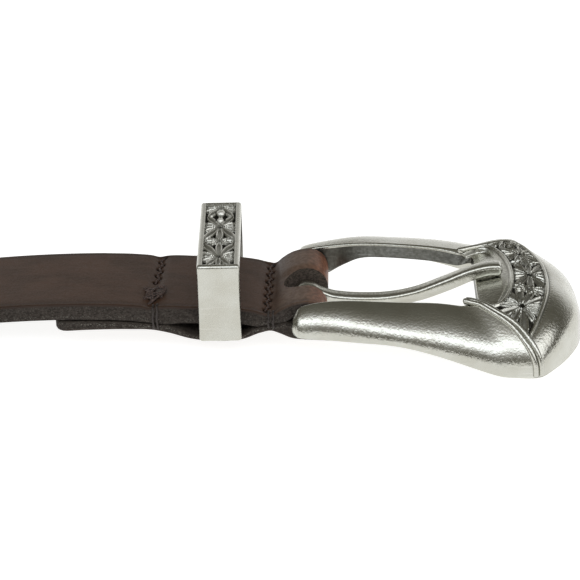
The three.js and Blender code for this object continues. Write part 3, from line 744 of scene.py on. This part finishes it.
def ridges():
    """Two round ribs on either side of the cap, from the rim over the crest to a nose at the lip."""
    f = np.concatenate([np.sin(np.linspace(1.556, 0, 70)), np.linspace(0, -0.97, 26)[1:]])
    middle = ridge_row(f)
    per_row = np.maximum(shell_stretch(middle, f, along=0.02), 1.2)
    lift = 0.15 + 0.75 * smoothstep(0.15, -1, f)
    thickness = RIDGE_RADIUS * (1 + 0.35 * smoothstep(-0.4, -1, f))
    ribs = []
    for on_near_side in (False, True):
        for side in (-1, 1):
            shift = RIDGE_SHIFT + side * RIDGE_RADIUS * (1 - 0.6 * smoothstep(-0.3, -1, f))
            s = middle + shift / per_row
            s = LAST_ROW - s if on_near_side else s
            path = shell_point(s, f) + shell_normal(s, f) * lift[:, None]
            from_nose = np.linalg.norm(path - path[-1], axis=1)
            end = np.clip(from_nose / RIDGE_RADIUS, 0.02, 1)
            ribs.append(tube(path, thickness * np.sqrt(1 - (1 - end) ** 2), sides=10))
    return ribs


def fillet(before, corner, after, radius):
    """Points that round a corner of a loop between the points before and after it."""
    entry = corner + unit(before - corner) * radius
    leave = corner + unit(after - corner) * radius
    t = np.linspace(0, 1, 5)[None, :, None]
    return (1 - t) ** 2 * entry[:, None] + 2 * t * (1 - t) * corner[:, None] + t ** 2 * leave[:, None]


def shell_grid():
    """Places s and f of the outer face's points, closer on the cap and over the band's beads."""
    rail = np.concatenate([np.linspace(0, 2, 24)[:-1], np.linspace(2, RIDGE_ROW - 2, 40)])
    cap = np.linspace(RIDGE_ROW - 2, LAST_ROW - RIDGE_ROW + 2, 610)
    s = np.concatenate([rail[:-1], cap, LAST_ROW - rail[-2::-1]])[:, None]
    inward = -(1 + np.cos(np.linspace(0, pi, 26))) / 2
    bead = np.clip(band_edge(s), 0.35, 0.7)
    to_bead = (bead - BEAD_SPAN) * np.linspace(0, 1, 46)[1:]
    over_bead = bead + np.linspace(-BEAD_SPAN, BEAD_SPAN, 13)[1:]
    start = np.arcsin(bead + BEAD_SPAN)
    outward = np.sin(start + (pi / 2 - start) * np.linspace(0, 1, 23)[1:])
    return s, np.hstack([np.tile(inward, (len(s), 1)), to_bead, over_bead, outward])


def shell_loops():
    """Closed loops round the shell's wall, and how dark each point is."""
    s, f = shell_grid()
    outer = shell_point(s, f)
    lift, dark = buckle_relief(s, f, outer)
    outer += shell_normal(s, f) * lift[..., None]
    inner = inner_point(*np.broadcast_arrays(s, np.linspace(1, -1, 10)))
    under_lip = fillet(inner[:, -2], inner[:, -1], outer[:, 0], 0.25)
    share = np.linspace(0.05, 0.95, 4)[None, :, None]
    lip_wall = under_lip[:, -1:] + (outer[:, :1] - under_lip[:, -1:]) * share
    # The lip's wall and the inner face are darkened as painted shade
    bands = (
        (under_lip, LIP_WALL_SHADE),
        (lip_wall, LIP_WALL_SHADE),
        (outer[:, :-4], dark[:, :-4]),
        (fillet(outer[:, -4], outer[:, -1], inner[:, 0], 0.3), 0),
        (fillet(outer[:, -1], inner[:, 0], inner[:, 1], 0.3), 0),
        (inner[:, 1:-1], INSIDE_SHADE),
    )
    loops = np.concatenate([points for points, _ in bands], 1)
    shade = np.concatenate([np.broadcast_to(value, points.shape[:2]) for points, value in bands], 1)
    return loops, shade


def buckle():
    """The cast shell with its rails, rest plate, flower band and cap, the ribs and the hinge bar."""
    shell, shade = shell_loops()
    bar_ends = np.linspace(-BAR_HALF_LENGTH, BAR_HALF_LENGTH, 3)
    bar = tube([(0, y, BAR_HEIGHT) for y in bar_ends], BAR_RADIUS, sides=40)
    rods = [bar, *ridges()]
    parts = [lofted(loops) for loops in (shell, *rods)]
    shades = [shade] + [np.full(loops.shape[:2], RIB_SHADE) for loops in rods]
    patina_and_painted_light = np.concatenate([values.ravel() for values in shades])
    piece("buckle", parts, "buckle_frame", [CAST_SILVER], [("patina_and_painted_light", patina_and_painted_light)])


# Keeper

def keeper_outlines():
    """Outer and inner outline in y and z, point for point: roof, far side, floor and near side."""
    side = KEEPER_HALF_WIDTH - KEEPER_CORNER
    high = KEEPER_HIGH - KEEPER_CORNER
    low = KEEPER_LOW + KEEPER_CORNER
    corners = np.array([(-side, high), (side, high), (side, low), (-side, low), (-side, high)])
    turn = np.linspace(0, pi / 2, 6)[1:-1]
    centres, angles = [], []
    for k, count in enumerate(KEEPER_COUNTS):
        centres += [np.linspace(corners[k], corners[k + 1], count), np.tile(corners[k + 1], (len(turn), 1))]
        angles += [np.full(count, k * pi / 2), k * pi / 2 + turn]
    angles = np.concatenate(angles)
    outward = np.column_stack([np.sin(angles), np.cos(angles)])
    outer = np.vstack(centres) + KEEPER_CORNER * outward
    radius = np.where(outward[:, 1] > -1e-9, KEEPER_ROOF_ROUND, KEEPER_FLOOR_ROUND)
    inner_side = KEEPER_HALF_WIDTH - KEEPER_SIDE_WALL - radius
    inner_low = KEEPER_LOW + KEEPER_FLOOR + KEEPER_FLOOR_ROUND
    inner_high = KEEPER_HIGH - KEEPER_ROOF - KEEPER_ROOF_ROUND
    inner_y = np.clip(outer[:, 0], -inner_side, inner_side)
    inner_z = np.clip(outer[:, 1], inner_low, inner_high)
    return outer, np.column_stack([inner_y, inner_z]) + radius[:, None] * outward


def keeper_relief(x, outer):
    """How far the relief moves the outer outline at x; its mask is tarnish in the gaps and polished edges
    painted bright as a highlight.
    """
    y, z = outer[:, 0], outer[:, 1]
    roof = smoothstep(KEEPER_HIGH - 0.05, KEEPER_HIGH - 0.01, z)
    room_x = KEEPER_LENGTH / 2 - KEEPER_BORDER
    room_y = KEEPER_HALF_WIDTH - KEEPER_END_BORDER
    inside = roof * smoothstep(room_x, room_x - 0.18, abs(x)) * smoothstep(room_y, room_y - 0.18, np.abs(y))
    flowers = np.zeros(len(y))
    for middle, left, right in KEEPER_FLOWERS:
        flowers = np.maximum(flowers, flower_height(y - middle, np.full(len(y), -x), left, right, room_x))
    for middle, radius in KEEPER_BALLS:
        reach = np.hypot(x, y - middle)
        flowers = np.where(reach < radius + 0.25, 0, flowers)
        flowers = np.maximum(flowers, 1.15 * np.sqrt(np.maximum(1 - (reach / radius) ** 2, 0)))
    return inside * KEEPER_DEPTH * (flowers - 1), inside * patina_and_painted_light_of(flowers)


def keeper():
    """A flat loop with rounded corners, whose roof carries a sunk field with flowers."""
    outer, inner = keeper_outlines()
    outward = unit(outer - inner)
    half = KEEPER_LENGTH / 2
    flat = half - KEEPER_EDGE
    rounding = [(flat + KEEPER_EDGE * sin(a), outer - outward * KEEPER_EDGE * (1 - cos(a)), 0)
                for a in np.linspace(0, pi / 2, 5)[1:]]
    rings = []
    for x in np.linspace(-flat, flat, 76):
        lift, dark = keeper_relief(x, outer)
        rings.append((x, outer + outward * lift[:, None], dark))
    rings += rounding
    rings += [(x, inner, KEEPER_INSIDE_SHADE) for x in np.linspace(half, -half, 5)]
    rings += [(-x, points, shade) for x, points, shade in rounding[::-1]]
    x = np.broadcast_to([ring[0] for ring in rings], (len(outer), len(rings)))
    y, z = np.moveaxis(np.stack([ring[1] for ring in rings], 1), -1, 0)
    cosine, sine = cos(KEEPER_TURN), sin(KEEPER_TURN)
    loops = np.stack([KEEPER_X + x * cosine - y * sine, x * sine + y * cosine, z], -1)
    patina_and_painted_light = np.stack([np.broadcast_to(ring[2], len(outer)) for ring in rings], 1)
    piece("keeper_loop", [lofted(loops, closed=True)], "keeper", [KEEPER_SILVER], [("patina_and_painted_light", patina_and_painted_light)])


# Prong

def prong_line():
    """Middle line of the tongue in x and z, its thickness and the number of points in the eye."""
    eye_inside = BAR_RADIUS + RUNNING_GAP
    eye_wall = EYE_RADIUS - eye_inside
    eye_middle = (EYE_RADIUS + eye_inside) / 2
    angle = np.radians(np.linspace(-30, -270, 50))
    eye = on_circle(angle, eye_middle) + (0, BAR_HEIGHT)
    x = np.linspace(0.35, PRONG_TOP[-1, 0], 110)
    top = np.column_stack([x, height_at(PRONG_TOP, x)])
    tangent = unit(np.gradient(top, axis=0))
    thick = eye_wall + (PRONG_THICKNESS - eye_wall) * smoothstep(0, 5, x) + PRONG_BELLY * bump(x, 31, 8)
    arm = top + np.column_stack([tangent[:, 1], -tangent[:, 0]]) * thick[:, None] / 2
    return np.vstack([eye, arm]), np.concatenate([np.full(len(eye), eye_wall), thick]), len(eye)


def prong():
    """The tongue: an eye rolled round the bar, running out into an S-curved arm with a blunt end."""
    middle, thickness, eye_count = prong_line()
    from_end = np.clip((PRONG_TOP[-1, 0] - middle[:, 0]) / PRONG_END_ROUND, 0, 1)
    blunt = np.sqrt(np.clip(1 - (1 - from_end) ** 2, 0.02, 1))
    blunt[:eye_count] = 1
    width = PRONG_HALF_WIDTH * (1 - 0.06 * smoothstep(5, 45, middle[:, 0])) * (0.7 + 0.3 * blunt)
    tangent = unit(np.gradient(middle, axis=0))
    turn = np.linspace(0, 2 * pi, 40, endpoint=False)
    across = np.sign(np.cos(turn)) * np.abs(np.cos(turn)) ** 0.55
    upward = np.sign(np.sin(turn)) * np.abs(np.sin(turn)) ** 0.62
    lift = upward * (thickness / 2 * blunt)[:, None]
    loops = np.stack([
        middle[:, :1] - tangent[:, 1:] * lift,
        across * width[:, None],
        middle[:, 1:] + tangent[:, :1] * lift,
    ], -1)
    patina_and_painted_light = np.zeros(loops.shape[:2])
    piece("prong_tongue", [lofted(loops)], "prong", [PRONG_SILVER], [("patina_and_painted_light", patina_and_painted_light)])


# Strap

def layer_inside(x, gap, tunnel_column, bar_space):
    """Height of a layer's inner face in the slit, in the tunnel and past it to the bar."""
    in_slit = strap_top(x) - STRAP_THICKNESS - gap
    slit_end = strap_top(SLIT_END_X) - STRAP_THICKNESS - gap
    opening = np.interp(x, [SLIT_END_X, TUNNEL[0, 0]], [slit_end, TUNNEL[0, tunnel_column]])
    in_tunnel = height_at(TUNNEL, x, tunnel_column)
    past = np.interp(x, [TUNNEL[-1, 0], *bar_space[:, 0]], [TUNNEL[-1, tunnel_column], *bar_space[:, 1]])
    before = [x <= SLIT_END_X, x <= TUNNEL[0, 0], x <= TUNNEL[-1, 0]]
    return np.select(before, [in_slit, opening, in_tunnel], past)


def strap_stations():
    """Outer and inner points in x and z along the leather, from its tip to the end of its return."""
    start = TIP_X + TIP_FINE_LENGTH
    stretches = [TIP_X + TIP_FINE_LENGTH * (1 - np.cos(np.linspace(0.04, pi / 2, 30)))]
    for end, count in UPPER_STRETCHES:
        stretches.append(np.linspace(start, end, count)[1:])
        start = end
    upper = np.concatenate(stretches)
    lower = np.linspace(0, RETURN_END_X, 120)
    turn = np.linspace(pi / 2, -pi / 2, 48)[1:-1]
    middle = (RETURN_LINE[-1, 1] + TOP_LINE[-1, 1]) / 2
    bar_space = BAR_RADIUS + RUNNING_GAP
    outer = np.vstack([
        np.column_stack([upper, strap_top(upper)]),
        np.column_stack([TURN_RADIUS * np.cos(turn) ** 0.9, middle + TURN_RADIUS * np.sin(turn)]),
        np.column_stack([lower, height_at(RETURN_LINE, lower)]),
    ])
    inner = np.vstack([
        np.column_stack([upper, layer_inside(upper, 0, TUNNEL_UPPER, BAR_SPACE_TOP)]),
        on_circle(turn, bar_space) + (0, BAR_HEIGHT),
        np.column_stack([lower, layer_inside(lower, SLIT_GAP, TUNNEL_LOWER, BAR_SPACE_UNDER)]),
    ])
    return outer, inner, len(upper)


def half_width(outer, upper_count):
    """Half width at each station: pointed at the tip, with round corners at the return's end."""
    t = np.linspace(1, 0, 200)
    shares = np.stack([(1 - t) ** 3, 3 * t * (1 - t) ** 2, 3 * t ** 2 * (1 - t), t ** 3], 1)
    tip = shares @ TIP_CURVE
    width = np.interp(outer[:, 0] - TIP_X, tip[:, 0], tip[:, 1])
    from_end = np.clip(outer[:, 0] - RETURN_END_X, 0.05, RETURN_CORNER)
    corner = STRAP_HALF - RETURN_CORNER + np.sqrt(RETURN_CORNER ** 2 - (RETURN_CORNER - from_end) ** 2)
    width[upper_count:] = np.minimum(width, corner)[upper_count:]
    return width


FACE_SLOT = 0
EDGE_SLOT = 1
FLESH_SLOT = 2


def strap_columns(width, thickness):
    """Columns of points round the strip: y, depth under the face and material."""
    edge = np.minimum(EDGE_ROUND, width * 0.8)
    flesh = np.minimum(FLESH_ROUND, width * 0.5)
    arc = np.linspace(0, pi / 2, 6)
    face = [((width - edge) * share, 0 * width, FACE_SLOT) for share in np.linspace(-1, 1, 96)]
    face_corner = [(width - edge + edge * sin(a), edge * (1 - cos(a)), FACE_SLOT) for a in arc[1:]]
    wall = [(width, edge + (thickness - edge - flesh) * share, EDGE_SLOT) for share in np.linspace(0, 1, 7)]
    flesh_corner = [(width - flesh * (1 - cos(a)), thickness - flesh + flesh * sin(a), FLESH_SLOT)
                    for a in arc[2::3]]
    back = [((width - flesh) * share, thickness, FLESH_SLOT) for share in np.linspace(1, -1, 10)[1:-1]]
    far_side = face_corner + wall[1:] + flesh_corner
    near_side = [(-y, depth, slot) for y, depth, slot in face_corner[:-1] + wall[:-1] + flesh_corner][::-1]
    y, depth, slot = zip(*(face + far_side + back + near_side))
    return np.stack(y, 1), np.stack(depth, 1), np.array(slot)


def stitch_places(row):
    """Places y of the holes of a row of stitches."""
    return np.arange(row["far"], row["near"], -STITCH_PITCH)


def stitch_dents(x, y):
    """How far the thread pulls the face down along its rows, and where the awl's holes are."""
    pinch = np.zeros(np.broadcast(x, y).shape)
    holes = np.zeros_like(pinch)
    for row in STITCH_ROWS:
        pinch += row["pull"] * bump(x, row["x"] + row["lean"] * y, 1.3)
        for k, hole_y in enumerate(stitch_places(row)):
            hole_x = row["x"] + row["lean"] * hole_y + STITCH_SWING * (-1) ** k
            holes = np.maximum(holes, smoothstep(0.75, 0.4, np.hypot(x - hole_x, (y - hole_y) * 0.9)))
    return pinch, holes


def strap():
    """The strip of leather with rounded edges, creased borders and dents under the thread."""
    outer, inner, upper_count = strap_stations()
    width = half_width(outer, upper_count)
    inward = inner - outer
    thickness = np.linalg.norm(inward, axis=1)
    inward /= thickness[:, None]
    y, depth, slot = strap_columns(width, thickness)
    steps = np.linalg.norm(np.diff(outer, axis=0), axis=1)
    along = np.concatenate([[0], np.cumsum(steps)])[:, None]
    on_upper = (np.arange(len(outer)) < upper_count)[:, None]
    x = outer[:, :1]
    from_side = width[:, None] - np.abs(y)
    wave = 0.02 * ripple(along * 0.4, y * 0.7, seed=3)
    crease = 0.02 * bump(from_side, 1.3, 0.5)
    far_ear = 0.6 * smoothstep(1.5, 5, y) * smoothstep(-9, -3, x) * np.clip(-inward[:, 1:], 0, 1) ** 2
    pinch, holes = stitch_dents(x, y)
    lowered = crease + (pinch + 0.45 * holes) * on_upper * smoothstep(0.4, 1.4, from_side) - wave - far_ear
    depth += (slot == FACE_SLOT) * lowered * smoothstep(0.1, 1.2, from_side + 0.5)
    rough = 0.08 * ripple(along * 3, depth * 9, seed=8, waves=9, longest=9, shortest=2)
    y += (slot == EDGE_SLOT) * rough * np.sign(y)
    loops = np.stack([x + inward[:, :1] * depth, y, outer[:, 1:] + inward[:, 1:] * depth], -1)
    after = np.roll(slot, -1)
    face_slot = np.where((slot == EDGE_SLOT) | (after == EDGE_SLOT), EDGE_SLOT, np.maximum(slot, after))
    slots = np.concatenate([np.tile(face_slot, len(loops) - 1), [EDGE_SLOT, EDGE_SLOT]])
    # Painted shade along the rolled edge and in the stitch holes; darker along the creased line
    border = 0.3 * bump(from_side, 1.2, 0.7) + 0.6 * smoothstep(0.6, 0.1, from_side)
    dark = (slot == FACE_SLOT) * np.clip(holes * on_upper + border, 0, 1)
    fuzz = (slot == EDGE_SLOT) * bump(thickness[:, None] - depth, 0.4, 0.6)
    materials = [LEATHER, EDGE, FLESH, CUT]
    masks = [("dark", dark), ("fuzz", fuzz)]
    cut_openings(piece("strap_leather", [lofted(loops, slots)], "strap", materials, masks))


def prism(outline, low, high):
    """A closed upright prism over an outline in x and y."""
    return lofted(np.stack([np.column_stack([outline, np.full(len(outline), z)]) for z in (low, high)]))


def cut_openings(made):
    """Cuts the prong's slot and the punched holes out of the strap."""
    arc = np.linspace(-pi / 2, -1.5 * pi, 33)
    round_end = on_circle(arc, SLOT_HALF_WIDTH) + (SLOT_LEFT_END + SLOT_HALF_WIDTH, 0)
    open_end = [(TURN_RADIUS + 2, SLOT_HALF_WIDTH), (TURN_RADIUS + 2, -SLOT_HALF_WIDTH)]
    slot = np.vstack([open_end, round_end])[::-1] + (0, SLOT_MIDDLE_Y)
    turn = np.linspace(0, 2 * pi, 32, endpoint=False)
    first_x = TIP_X + LAST_HOLE_TO_TIP
    holes = [on_circle(turn, HOLE_RADIUS) + (first_x + k * HOLE_PITCH, 0) for k in range(HOLE_COUNT)]
    parts = [prism(slot, -1, 20)] + [prism(hole, -1, 8) for hole in holes]
    cutter = new_object("cutter", new_mesh("cutter", parts, [CUT], smooth=False))
    boolean = made.modifiers.new("openings", "BOOLEAN")
    boolean.operation = "DIFFERENCE"
    boolean.solver = "EXACT"
    boolean.material_mode = "TRANSFER"
    boolean.object = cutter
    evaluated = made.evaluated_get(bpy.context.evaluated_depsgraph_get())
    result = bpy.data.meshes.new_from_object(evaluated)
    made.modifiers.clear()
    made.data = result
    bpy.data.objects.remove(cutter)


# Stitches

def face_point(x, y, lift):
    """Point over the strap's upper face."""
    return np.stack(np.broadcast_arrays(x, y, strap_top(np.asarray(x, float)) + lift), -1)


def crossing_stitches(row):
    """Paths of one row's stitches, which swing from side to side of its line."""
    places = stitch_places(row)
    t = np.linspace(0, 1, 9)
    strands = []
    for k, (y_from, y_to) in enumerate(zip(places[:-1], places[1:])):
        y = y_from + (y_to - y_from) * t
        x = row["x"] + row["lean"] * y + STITCH_SWING * (-1) ** k * (1 - 2 * t)
        lift = STITCH_ARCH * np.sin(pi * t) - row["pull"] - STITCH_END_DEPTH
        strands.append(face_point(x, y, lift))
    return strands


def edge_wrap(x, low):
    """Path of a thread from the face over the near edge and down the side."""
    side = -STRAP_HALF
    top = float(strap_top(np.array(x)))
    corners = np.array([
        (x, side + 2.4, top - 0.5), (x, side + 1.4, top + 0.02), (x, side + 0.35, top - 0.12),
        (x + 0.1, side - 0.1, top - 1.0), (x - 0.1, side - 0.12, (top + low) / 2),
        (x + 0.1, side - 0.1, low + 0.4), (x, side + 0.5, low - 0.1),
    ])
    return spline(corners, np.linspace(0, len(corners) - 1, 36))


def knot():
    """Paths of the double tie loop and of the tangle of turns beside it."""
    rng = np.random.default_rng(11)
    loop = spline(TIE_LOOP, np.linspace(0, len(TIE_LOOP) - 1, 60))
    strands = [face_point(*loop.T), face_point(*(loop - SECOND_THREAD).T)]
    turn = np.linspace(0, 1, 40)
    for k in range(KNOT_TURNS):
        middle_x = KNOT_X + rng.uniform(-1.2, 1.0)
        middle_y = KNOT_Y - KNOT_TURN_PITCH * k + rng.uniform(-0.4, 0.4)
        reach = rng.uniform(0.5, 1.1)
        lean = rng.uniform(-0.9, 0.9)
        angle = 2 * pi * (turn * rng.uniform(0.6, 0.9) + rng.uniform(0, 1))
        x = middle_x + reach * np.cos(angle) + lean * (turn - 0.5)
        y = middle_y + 0.55 * reach * np.sin(angle)
        height = 0.15 + 0.3 * np.sin(pi * turn) + rng.uniform(-0.2, 0.15)
        strands.append(face_point(x, y, height - 0.6 * (turn < 0.05) - 0.6 * (turn > 0.95)))
    return strands


def stitches():
    """Crossing stitches of both rows, the tied knot of the first and the threads over the near edge."""
    strands = [strand for row in STITCH_ROWS for strand in crossing_stitches(row)] + knot()
    parts = [lofted(tube(strand, THREAD_RADIUS)) for strand in strands]
    # The threads over the near edge use the darker copy: painted shade
    parts += [lofted(tube(edge_wrap(x, low), THREAD_RADIUS), slots=1) for x, low in EDGE_THREADS]
    piece("stitches", parts, "strap", [THREAD, SHADED_THREAD], replaced=False)


# Floor, light and camera

def table():
    """A pale table that glows a little."""
    corners = [(x * FLOOR_REACH, y * FLOOR_REACH, 0) for x, y in ((-1, -1), (1, -1), (1, 1), (-1, 1))]
    mesh = bpy.data.meshes.new("floor")
    mesh.from_pydata(corners, [], [(0, 1, 2, 3)])
    mesh.materials.append(Shader("pale_floor").finish(
        Base_Color=(0.5, 0.5, 0.5, 1), Roughness=0.8, Specular_IOR_Level=0.0,
        Emission_Color=(1, 1, 0.99, 1), Emission_Strength=0.87,
    ))
    floor = new_object("floor", mesh)
    floor.location.z = FLOOR_HEIGHT


def sky_colour(level):
    """Share of the brightest light, warmer where the studio is dim and cooler where it is bright."""
    share = level / SKY_BRIGHTEST
    warmth = max(0, 1 - level / 0.5)
    coolness = max(0, share - 0.4)
    red = share * (1 - 0.08 * coolness)
    green = share * (1 - 0.05 * warmth)
    blue = share * (1 - 0.26 * warmth + 0.1 * coolness)
    return red, green, blue, 1


def studio():
    """Dim surroundings, seen as plain white, with a soft box over the camera and one on the right."""
    world = bpy.data.worlds.new("studio")
    bpy.context.scene.world = world
    world.use_nodes = True
    sky = Nodes(world.node_tree)
    direction = sky.node("TexCoord").outputs["Generated"]
    x, y, z = sky.node("SeparateXYZ", {0: direction}).outputs
    over_floor = sky.math("ARCTAN2", sky.math("MAXIMUM", z, 0.0), sky.math("MULTIPLY", y, -1.0))
    ramp = sky.node("ValToRGB", {0: sky.math("DIVIDE", over_floor, pi)})
    elements = ramp.color_ramp.elements
    while len(elements) < len(SKY):
        elements.new(0.5)
    for element, (degrees, level) in zip(elements, SKY):
        element.position = degrees / 180
        element.color = sky_colour(level)
    sideways = sky.spread(sky.math("ABSOLUTE", x), SKY_SIDES_FROM, 1.0)
    colour = sky.mix(sideways, ramp.outputs[0], sky_colour(SKY_SIDES))
    rightness = sky.vector("DOT_PRODUCT", {0: direction, 1: RIGHT_LIGHT})["Value"]
    colour = sky.mix(sky.spread(rightness, RIGHT_LIGHT_FROM, RIGHT_LIGHT_FULL), colour, RIGHT_LIGHT_COLOUR)
    light = sky.tree.nodes["Background"]
    sky.feed(light.inputs[0], colour)
    sky.feed(light.inputs[1], SKY_BRIGHTEST)
    backdrop = sky.node("Background", {0: (1, 1, 1, 1)})
    seen = sky.node("LightPath").outputs["Is Camera Ray"]
    choice = sky.node("MixShader", {0: seen, 1: light.outputs[0], 2: backdrop.outputs[0]})
    sky.feed(sky.tree.nodes["World Output"].inputs[0], choice.outputs[0])


def camera():
    """The photograph's camera: low over the belt's near edge, a little to the right and turned."""
    target = Vector(CAMERA_AIM) + Vector((BAR_X, 0, 0))
    flat = cos(CAMERA_ELEVATION)
    towards = Vector((sin(CAMERA_YAW) * flat, -cos(CAMERA_YAW) * flat, sin(CAMERA_ELEVATION)))
    data = bpy.data.cameras.new("camera")
    data.sensor_width = 36
    data.lens = data.sensor_width * LENS_IN_FRAMES
    data.clip_start = 0.01
    shown = new_object("camera", data)
    turned = (-towards).to_track_quat("-Z", "Y").to_matrix().to_4x4() @ Matrix.Rotation(-CAMERA_ROLL, 4, "Z")
    shown.matrix_world = Matrix.Translation((target + towards * CAMERA_DISTANCE) * MM) @ turned
    bpy.context.scene.camera = shown


buckle()
keeper()
prong()
strap()
stitches()
table()
studio()
camera()
bpy.context.scene.view_settings.view_transform = "Standard"

bpy.context.view_layer.update()
